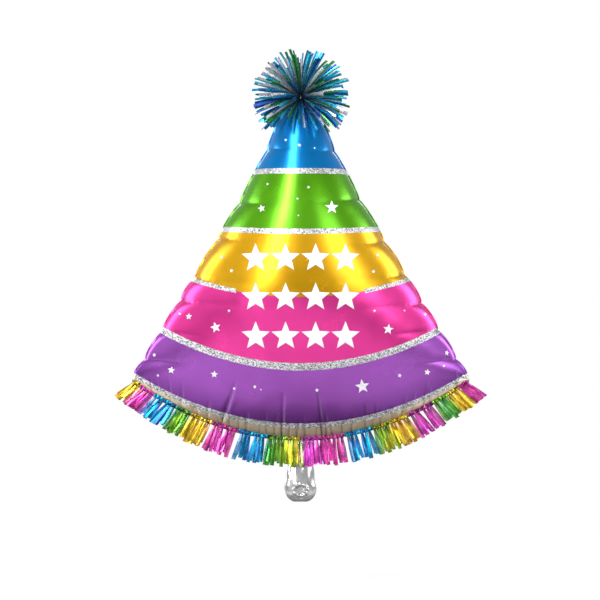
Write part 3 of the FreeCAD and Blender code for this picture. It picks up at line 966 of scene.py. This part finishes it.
class HAT_OT_stars(Operator):
    """Lays the printed stars on both films"""

    bl_idname = "hat.stars"
    bl_label = "Printed stars"

    def execute(self, context):
        for side, name in ((-1, "front"), (1, "back")):
            film = bpy.data.objects[name + "_film"]
            surface = BVHTree.FromObject(film, bpy.context.evaluated_depsgraph_get())
            verts, faces = [], []
            rng = random.Random(5)
            for x, z, radius in self.places():
                turn = rng.uniform(-STAR_TURN, STAR_TURN)
                self.star(surface, side, (x, z), radius, turn, verts, faces)
            piece = new_piece(name + "_stars", verts, faces)
            apply_modifier(piece, "SOLIDIFY", thickness=INK_THICKNESS, offset=-1.0 if side < 0 else 1.0)
            finish_piece(piece, "balloon", star_ink())
        return {"FINISHED"}

    def places(self):
        """Every star: across, up and radius."""
        large = []
        for up in LARGE_STAR_ROWS:
            for k in range(LARGE_STARS_PER_ROW):
                across = (k - (LARGE_STARS_PER_ROW - 1) / 2) * LARGE_STAR_PITCH
                large.append((across, up, LARGE_STAR_RADIUS))
        return list(STARS) + large

    def star(self, surface, side, place, radius, turn, verts, faces):
        """One star, cut fine enough to follow the film."""
        steps = max(2, round(radius / STAR_STEP))
        corners = star_outline(radius, turn if radius < LARGE_STAR_RADIUS else 0.0)
        for k in range(10):
            a, b = corners[k], corners[(k + 1) % 10]
            first = len(verts)
            for i in range(steps + 1):
                for j in range(i + 1):
                    wide = j / i if i else 0
                    share = i / steps
                    u = share * ((1 - wide) * a[0] + wide * b[0])
                    v = share * ((1 - wide) * a[1] + wide * b[1])
                    start = Vector((place[0] * -side + u, side, place[1] + v))
                    hit = surface.ray_cast(start, Vector((0, -side, 0)))[0]
                    if hit is None:
                        raise RuntimeError("a star lies off the film")
                    verts.append(hit + Vector((0, side * INK_RAISE, 0)))
            for i in range(steps):
                for j in range(i + 1):
                    p = first + i * (i + 1) // 2 + j
                    q = first + (i + 1) * (i + 2) // 2 + j
                    faces.append((p, q, q + 1))
                    if j < i:
                        faces.append((p, q + 1, p + 1))


def fringe_sections():
    """Each swinging section of the fringe: its node, body, hinge place, axis and ends along the axis."""
    found = []
    for name, joint in sorted(JOINTS.items()):
        if not name.startswith("fringe"):
            continue
        node = BODIES[joint["child"]][0]
        place, axis = Vector(joint["pos_m"]), Vector(joint["axis"]).normalized()
        down = Vector((axis.z, 0, -axis.x))
        corners = [v.co - place for v in frame["nodes"][node].data.vertices]
        ends = [c.dot(axis) for c in corners]
        reach = max(c.dot(down) for c in corners)
        lean = math.atan2(-min(c.y for c in corners), reach)
        found.append(
            {"node": node, "body": joint["child"], "place": place, "axis": axis, "down": down,
             "low": min(ends), "high": max(ends), "reach": reach, "lean": lean, "shade": node.split("_")[-1]}
        )
    return found


class HAT_OT_fringe(Operator):
    """Builds the tinsel strips of every swinging section of the fringe"""

    bl_idname = "hat.fringe"
    bl_label = "Fringe strips"

    def execute(self, context):
        sections = fringe_sections()
        for index, section in enumerate(sections):
            tinsel = Tinsel(100 + index)
            before, after = sections[max(index - 1, 0)], sections[min(index + 1, len(sections) - 1)]
            neighbours = [before["shade"], after["shade"]]
            for layer in range(sizes().fringe_layers):
                self.layer(tinsel, section, layer, neighbours)
            piece = tinsel.piece(section["node"] + "_strips")
            finish_piece(piece, section["body"], tinsel_film(), [section["node"]])
        return {"FINISHED"}

    def layer(self, tinsel, section, layer, neighbours):
        """One layer of strips across a section, bunched in small groups."""
        rng = tinsel.rng
        span = section["high"] - section["low"]
        bunches = max(2, round(span / (FRINGE_BUNCH * sizes().strip_spacing)))
        lean = section["lean"]
        forward = section["down"] * math.cos(lean) + Vector((0, -1, 0)) * math.sin(lean)
        normal = section["axis"].cross(forward).normalized()
        side = section["place"].x / HALF_WIDTH
        for k in range(bunches * FRINGE_BUNCH):
            bunch, member = divmod(k, FRINGE_BUNCH)
            centre = section["low"] + span * (bunch + 0.5) / bunches
            offset = (member - (FRINGE_BUNCH - 1) / 2) * sizes().strip_spacing * FRINGE_BUNCH_TIGHTNESS
            place = centre + offset + rng.uniform(-0.0010, 0.0010)
            width = sizes().strip_width * rng.uniform(*FRINGE_WIDTHS)
            place = max(section["low"] + width * 0.30, min(section["high"] - width * 0.30, place))
            fan = offset * FRINGE_BUNCH_FAN + rng.uniform(-0.08, 0.08) + FRINGE_END_FAN * side * abs(side)
            length = section["reach"] * rng.uniform(*FRINGE_LENGTHS)
            length *= 1 - FRINGE_END_SHORTENING * abs(side) ** 3
            tone = self.tone(rng, section, neighbours, (place - section["low"]) / span)
            end = [0.5 * (a + b) for a, b in zip(tone, rng.choice(FRINGE_SHADES[section["shade"]]))]
            root = section["place"] + section["axis"] * place + normal * ((layer - 1) * FRINGE_LAYER_GAP)
            self.hang(tinsel, root, section["axis"], forward, normal, fan, length, width, tone, end, layer)

    def tone(self, rng, section, neighbours, along):
        """A strip's colour, which runs into the next section's colour at the ends."""
        own = rng.choice(FRINGE_SHADES[section["shade"]])
        other = rng.choice(FRINGE_SHADES[neighbours[0] if along < 0.5 else neighbours[1]])
        blend = max(0.0, abs(along - 0.5) - FRINGE_BLEND_START) * rng.uniform(0.8, 2.4)
        return [(1 - blend) * a + blend * b for a, b in zip(own, other)]

    def hang(self, tinsel, root, axis, forward, normal, fan, length, width, tone, end, layer):
        """One strip that hangs from the gathered band, with painted shade towards its root."""
        rng = tinsel.rng
        curl = rng.uniform(-0.5, 1.0) * FRINGE_CURL
        twist = rng.uniform(-FRINGE_TWIST, FRINGE_TWIST)
        dark = rng.uniform(0.75, 1.15)
        points, across, widths, tints = [], [], [], []
        way = (forward + axis * fan).normalized()
        for k in range(FRINGE_STEPS + 1):
            share = k / FRINGE_STEPS
            out = (layer - 1) * FRINGE_LAYER_SPREAD * share - curl * share * share
            points.append(root + way * (length * share - FRINGE_ROOT_LAP) - normal * out)
            turn = twist * share
            across.append((axis * math.cos(turn) + normal * math.sin(turn)).normalized())
            widths.append(width * (0.60 + 0.40 * min(1, share * 2.2)))
            # Painted shade: the strip darkens towards its root under the gathered band; the random factor is the
            # strip's own tone.
            tone_and_painted_light = dark * (0.45 + 0.55 * min(1, share * 2.5))
            tints.append([min(1, tone_and_painted_light * ((1 - share) * a + share * b)) for a, b in zip(tone, end)])
        fold = rng.uniform(0.06, 0.16) * rng.choice((-1, 1))
        tinsel.strip(points, across, widths, fold, tints, FRINGE_PAINTED_FOLD_LIGHT)


class HAT_OT_gather(Operator):
    """Builds the gathered band that holds the fringe's strips"""

    bl_idname = "hat.gather"
    bl_label = "Gathered band"

    def execute(self, context):
        tinsel = Tinsel(40)
        for section in fringe_sections():
            self.pleats(tinsel, section)
        piece = tinsel.piece("fringe_gathers")
        finish_piece(piece, "balloon", tinsel_film(), ["fringe_gather_band"])
        frame["nodes"]["fringe_tape"].data.materials.clear()
        frame["nodes"]["fringe_tape"].data.materials.append(
            plain_metal("Fringe tape", (0.62, 0.60, 0.55), (0.85, 0.84, 0.80), 0.24)
        )
        return {"FINISHED"}

    def pleats(self, tinsel, section):
        """Short folded strips side by side, one section long, each step painted darker or lighter as shade and
        glints.
        """
        rng = tinsel.rng
        span = section["high"] - section["low"]
        count = round(span / PLEAT_PITCH)
        for k in range(count):
            along = section["low"] + span * (k + 0.5) / count
            x = section["place"].x + section["axis"].x * along
            foot = Vector((x, section["place"].y, seam_z(x) - BOTTOM_MARGIN - GATHER_LAP))
            up = -section["down"]
            tone = rng.choice(FRINGE_SHADES[section["shade"]])
            points, across, widths, tints = [], [], [], []
            for step in range(PLEAT_STEPS + 1):
                share = step / PLEAT_STEPS
                rise = (BOTTOM_MARGIN + GATHER_LAP) * share * rng.uniform(0.90, 1.04)
                bulge = -PLEAT_BULGE * math.sin(math.pi * share) - PLEAT_RAISE
                points.append(foot + up * rise + Vector((0, bulge, 0)))
                across.append((section["axis"] + Vector((0, rng.uniform(-0.25, 0.25), 0))).normalized())
                widths.append(PLEAT_WIDTH * rng.uniform(0.8, 1.2))
                # Painted shade and glints: each step of a pleat is coloured darker or lighter at random.
                tone_and_painted_light = rng.choice(PLEAT_SHADE_AND_GLINT)
                tints.append([min(1, tone_and_painted_light * c) for c in tone])
            tinsel.strip(points, across, widths, rng.uniform(0.15, 0.28) * rng.choice((-1, 1)), tints)


class HAT_OT_pompom(Operator):
    """Builds the pompom's strips, colour by colour, and finishes its binding and wire"""

    bl_idname = "hat.pompom"
    bl_label = "Pompom"

    def execute(self, context):
        shades = list(POMPOM_SHADES)
        bundles = {shade: Tinsel(200 + k) for k, shade in enumerate(shades)}
        total = sizes().pompom_strips
        chooser = random.Random(11)
        golden = math.pi * (3 - math.sqrt(5))
        lowest = -math.cos(POMPOM_OPEN)
        for k in range(total):
            up = 1 - (1 - lowest) * (k + 0.5) / total
            turn = k * golden
            flat = math.sqrt(1 - up * up)
            way = Vector((flat * math.cos(turn), flat * math.sin(turn), up))
            way = way + Vector([chooser.uniform(-POMPOM_SCATTER, POMPOM_SCATTER) for _ in range(3)])
            way.y *= POMPOM_FLATTENING
            way.normalize()
            if way.z < lowest:
                flat = Vector((way.x, way.y, 0)).normalized() * math.sin(POMPOM_OPEN)
                way = Vector((flat.x, flat.y, lowest))
            shade = chooser.choices(shades, POMPOM_MIX)[0]
            self.ray(bundles[shade], way, shade)
        for shade, tinsel in bundles.items():
            node = "pompom_strips_" + shade
            piece = tinsel.piece("pompom_" + shade)
            finish_piece(piece, "pompom", tinsel_film(), [node])
        self.paint("pompom_core", plain_metal("Binding", (0.01, 0.02, 0.04), (0.02, 0.07, 0.10), 0.4))
        self.paint("pompom_tie", plain_metal("Wire", (0.45, 0.45, 0.46), (0.70, 0.70, 0.71), 0.3))
        return {"FINISHED"}

    def paint(self, node, material):
        """Gives one of the frame's own nodes a material."""
        frame["nodes"][node].data.materials.clear()
        frame["nodes"][node].data.materials.append(material)

    def ray(self, tinsel, way, shade):
        """One strip out of the binding, painted darker towards the binding as shade."""
        rng = tinsel.rng
        side = way.cross(Vector((0, 1, 0.02))).normalized()
        side = Matrix.Rotation(rng.uniform(-0.8, 0.8), 3, way) @ side
        reach = sizes().pompom_radius * rng.uniform(*POMPOM_REACHES)
        full = rng.uniform(*POMPOM_WIDTHS)
        inner, outer = rng.choice(POMPOM_SHADES[shade]), rng.choice(POMPOM_SHADES[shade])
        angle = math.acos(max(-1.0, min(1.0, -way.z)))
        tip_open = POMPOM_TIP_OPEN + (POMPOM_BACK_OPEN if way.y > 0 else 0.0)
        droop = min(rng.uniform(*POMPOM_DROOPS), angle - tip_open)
        outward = Vector((way.x, way.y, 0)).normalized()
        points, across, widths, tints = [], [], [], []
        for k in range(POMPOM_STEPS + 1):
            share = k / POMPOM_STEPS
            out = POMPOM_ROOT + (reach - POMPOM_ROOT) * share
            bent = angle - droop * share**2
            points.append(POMPOM + (outward * math.sin(bent) + Vector((0, 0, -math.cos(bent)))) * out)
            across.append(side)
            widths.append(POMPOM_ROOT_WIDTH + (full - POMPOM_ROOT_WIDTH) * min(1, out / POMPOM_FULL_WIDTH_AT))
            # Painted shade: the strip darkens towards the binding, where the other strips shade it.
            tone_and_painted_light = 0.14 + 0.98 * min(1, share * 1.15)
            tints.append([min(1, tone_and_painted_light * ((1 - share) * a + share * b)) for a, b in zip(inner, outer)])
        fold = rng.uniform(0.08, 0.18) * rng.choice((-1, 1))
        tinsel.strip(points, across, widths, fold, tints, 1.0)


class HAT_OT_neck(Operator):
    """Builds the wrinkled filling neck and finishes the valve films"""

    bl_idname = "hat.neck"
    bl_label = "Filling neck"

    def execute(self, context):
        for side, name in ((-1, "front"), (1, "back")):
            x, y, z = self.grid(side)
            piece = grid_piece("neck_" + name + "_skin", x, y, z, flip=side > 0)
            if side < 0:
                self.punch(piece)
            apply_modifier(piece, "SOLIDIFY", thickness=NECK_FILM_THICKNESS, offset=0.0)
            skin = clear_film("Neck film", 0.55, 0.97)
            finish_piece(piece, "neck", skin, ["neck_film_" + name])
        for node in ("valve_film_front", "valve_film_back", "valve_inlet_front", "valve_inlet_back"):
            data = frame["nodes"][node].data
            data.materials.clear()
            data.materials.append(clear_film("Valve film", 0.30, 0.45))
        return {"FINISHED"}

    def grid(self, side):
        """The points of one neck film: folds at its narrow top, a rounded pouch below."""
        across, down = np.meshgrid(
            np.linspace(0, math.pi, NECK_COLUMNS + 1), np.linspace(0, 1, NECK_ROWS + 1), indexing="ij"
        )
        top, low = NECK_HIGH.z, NECK_LOW.z
        z = top + (low - top) * np.sin(down * math.pi / 2) * (0.35 * down + 0.65)
        share = (top - z) / (top - low)
        swell = np.clip((share - NECK_POUCH_START) / 0.42, 0, 1) ** 1.5
        tail = np.clip((share - NECK_TAIL_START) / (1 - NECK_TAIL_START), 0, 1)
        wide = NECK_TOP_HALF_WIDTH + NECK_POUCH_WIDTH * swell
        wide = wide * np.sqrt(np.clip(1 - 0.82 * tail**2.2, 0, 1))
        deep = NECK_TOP_HALF_DEPTH + NECK_POUCH_DEPTH * np.clip(share / 0.75, 0, 1) ** 0.8
        deep = deep * np.sqrt(np.clip(1 - 0.97 * tail**2, 0, 1))
        x = wide * np.cos(across)
        y = deep * np.sin(across)
        pull = np.exp(-(((z - FILL_HOLE.z) / 0.030) ** 2))
        folds = np.sin(x / NECK_FOLD_PITCH + 1.6 * np.sin(z / 0.017) + side) * (np.exp(-share * 2.0) + 0.25)
        dents = soft_dents(x * 2.2, z * 1.5, 21 + side) * np.clip(share * 3, 0, 1)
        y = y + np.sin(across) * (NECK_FOLD_DEPTH * folds + NECK_DENT_DEPTH * dents)
        x = x * (1 + 0.018 * np.sin(z / 0.0045) * np.abs(np.cos(across)) ** 3)
        if side < 0:
            gap = np.hypot(x / HOLE_RIM_STRETCH, z - FILL_HOLE.z)
            ring = np.exp(-(((gap - HOLE_RIM_RADIUS) / HOLE_RIM_WIDTH) ** 2)) * HOLE_RIM_HEIGHT
            bowl = -np.exp(-((gap / HOLE_BOWL_RADIUS) ** 2)) * HOLE_BOWL_DEPTH
            spokes = 1 + 0.45 * np.sin(HOLE_SPOKES * np.arctan2(z - FILL_HOLE.z, x))
            y = y + ring * spokes + bowl * pull
        y = np.maximum(y, 0.0002) * np.where(np.sin(across) < 1e-9, 0, 1)
        return x, side * y, z

    def punch(self, piece):
        """Opens the filling hole, with a clean round edge."""
        mesh = piece.data
        gone = set()
        for vert in mesh.vertices:
            flat = Vector(((vert.co.x - FILL_HOLE.x) / HOLE_STRETCH, vert.co.z - FILL_HOLE.z))
            if flat.length < HOLE_RADIUS * 0.86:
                gone.add(vert.index)
            elif flat.length < HOLE_RADIUS * 1.12:
                edge = flat.normalized() * HOLE_RADIUS
                vert.co.x = FILL_HOLE.x + edge.x * HOLE_STRETCH
                vert.co.z = FILL_HOLE.z + edge.y
        verts = [v.co.copy() for v in mesh.vertices]
        faces = [tuple(p.vertices) for p in mesh.polygons if not gone.intersection(p.vertices)]
        used = sorted({i for face in faces for i in face})
        renumber = {old: new for new, old in enumerate(used)}
        faces = [tuple(renumber[i] for i in face) for face in faces]
        mesh.clear_geometry()
        mesh.from_pydata([verts[i] for i in used], [], faces)
        mesh.polygons.foreach_set("use_smooth", [True] * len(mesh.polygons))
        mesh.update()


class HAT_OT_stage(Operator):
    """Sets the floor, the studio light and the camera"""

    bl_idname = "hat.stage"
    bl_label = "Stage"

    def execute(self, context):
        self.floor()
        self.world(context.scene)
        for lamp in LIGHTS:
            self.light(*lamp)
        self.camera(context.scene)
        return {"FINISHED"}

    def floor(self):
        """A pale round floor that fades out at its edge; other rays than the camera's see it grey, with a painted
        dark shadow round the middle.
        """
        height = CAD_BOX[0].z - FLOOR_BELOW
        verts = [Vector((0, 0, height))]
        faces = []
        for ring in range(1, FLOOR_RINGS + 1):
            for spoke in range(FLOOR_SPOKES):
                turn = 2 * math.pi * spoke / FLOOR_SPOKES
                reach = FLOOR_RADIUS * ring / FLOOR_RINGS
                verts.append(Vector((reach * math.cos(turn), reach * math.sin(turn), height)))
        for spoke in range(FLOOR_SPOKES):
            ahead = (spoke + 1) % FLOOR_SPOKES
            faces.append((0, 1 + spoke, 1 + ahead))
            for ring in range(FLOOR_RINGS - 1):
                a, b = 1 + ring * FLOOR_SPOKES, 1 + (ring + 1) * FLOOR_SPOKES
                faces.append((a + spoke, b + spoke, b + ahead, a + ahead))
        floor = new_piece("floor", verts, faces)
        material, graph, shader = new_material("Pale floor")
        noise = graph.add("ShaderNodeTexNoise", {"Vector": object_point(graph), "Scale": 9.0, "Detail": 5.0})
        tone = graph.mix(noise.outputs[0], (0.86, 0.86, 0.86, 1), (0.90, 0.90, 0.90, 1))
        distance = graph.add("ShaderNodeVectorMath", {0: object_point(graph)}, operation="LENGTH")
        away = distance.outputs["Value"]
        set_inputs(graph, shader, Base_Color=tone, Roughness=0.7, Alpha=graph.ramp(away, 1.6, 0.6))
        # Painted shadow: for reflections the floor is grey with a dark disc under the object.
        shade = graph.mix(graph.ramp(away, 0.40, 0.48), (0.10, 0.10, 0.10, 1), (0.55, 0.55, 0.56, 1))
        painted_shadow_floor = graph.add("ShaderNodeBsdfDiffuse", {"Color": shade})
        seen = graph.add("ShaderNodeLightPath").outputs["Is Camera Ray"]
        both = graph.add("ShaderNodeMixShader", {0: seen, 1: painted_shadow_floor.outputs[0], 2: shader.outputs[0]})
        output = next(node for node in graph.tree.nodes if node.type == "OUTPUT_MATERIAL")
        graph.tree.links.new(both.outputs[0], output.inputs[0])
        floor.data.materials.append(material)

    def world(self, scene):
        """White behind the object, and a softer grey for the light that it casts."""
        world = bpy.data.worlds.new("studio")
        scene.world = world
        world.use_nodes = True
        world.node_tree.nodes.clear()
        graph = Graph(world.node_tree)
        seen = graph.add("ShaderNodeBackground", {"Color": (1, 1, 1, 1), "Strength": 1.0})
        direction = graph.add("ShaderNodeTexCoord").outputs["Generated"]
        up = graph.add("ShaderNodeSeparateXYZ", {0: direction}).outputs[2]
        sky = graph.mix(graph.ramp(up, -0.06, 0.03), (0.10, 0.10, 0.10, 1), (0.62, 0.63, 0.66, 1))
        high = graph.mix(graph.ramp(up, 0.25, 0.75), sky, (0.26, 0.27, 0.29, 1))
        cast = graph.add("ShaderNodeBackground", {"Color": high, "Strength": 0.9})
        path = graph.add("ShaderNodeLightPath")
        direct = path.outputs["Is Camera Ray"]
        both = graph.add("ShaderNodeMixShader", {0: direct, 1: cast.outputs[0], 2: seen.outputs[0]})
        output = graph.add("ShaderNodeOutputWorld")
        world.node_tree.links.new(both.outputs[0], output.inputs[0])
        scene.view_settings.view_transform = "Standard"

    def light(self, name, place, target, size, power):
        """One soft rectangular light."""
        data = bpy.data.lights.new(name, "AREA")
        data.shape = "RECTANGLE"
        data.size, data.size_y = size
        data.energy = power
        lamp = bpy.data.objects.new(name, data)
        lamp.location = place
        aim = Vector(target) - Vector(place)
        lamp.rotation_euler = aim.to_track_quat("-Z", "Y").to_euler()
        bpy.context.scene.collection.objects.link(lamp)

    def camera(self, scene):
        """A long lens, level with the middle of the hat."""
        data = bpy.data.cameras.new("camera")
        data.lens = CAMERA_LENS
        camera = bpy.data.objects.new("camera", data)
        camera.location = CAMERA_PLACE
        camera.rotation_euler = (math.pi / 2, 0, 0)
        scene.collection.objects.link(camera)
        scene.camera = camera


class HAT_PT_panel(Panel):
    """The balloon's sizes, colours and pieces"""

    bl_idname = "HAT_PT_panel"
    bl_label = "Foil Party Hat"
    bl_space_type = "VIEW_3D"
    bl_region_type = "UI"
    bl_category = "Hat"

    def draw(self, context):
        for group in (context.scene.hat_sizes, context.scene.hat_colours):
            for name in group.__annotations__:
                self.layout.prop(group, name)
        for operator in OPERATORS:
            self.layout.operator(operator.bl_idname)


OPERATORS = (
    HAT_OT_films, HAT_OT_seam, HAT_OT_stars, HAT_OT_gather,
    HAT_OT_fringe, HAT_OT_pompom, HAT_OT_neck, HAT_OT_stage,
)
CLASSES = (HatSizes, HatColours, *OPERATORS, HAT_PT_panel)


def register():
    for made in CLASSES:
        bpy.utils.register_class(made)
    bpy.types.Scene.hat_sizes = PointerProperty(type=HatSizes)
    bpy.types.Scene.hat_colours = PointerProperty(type=HatColours)


def unregister():
    del bpy.types.Scene.hat_colours
    del bpy.types.Scene.hat_sizes
    for made in reversed(CLASSES):
        bpy.utils.unregister_class(made)


def main():
    """Builds every piece in order."""
    register()
    bpy.ops.hat.films()
    bpy.ops.hat.seam()
    bpy.ops.hat.stars()
    bpy.ops.hat.gather()
    bpy.ops.hat.fringe()
    bpy.ops.hat.pompom()
    bpy.ops.hat.neck()
    bpy.ops.hat.stage()


if __name__ == "__main__":
    main()
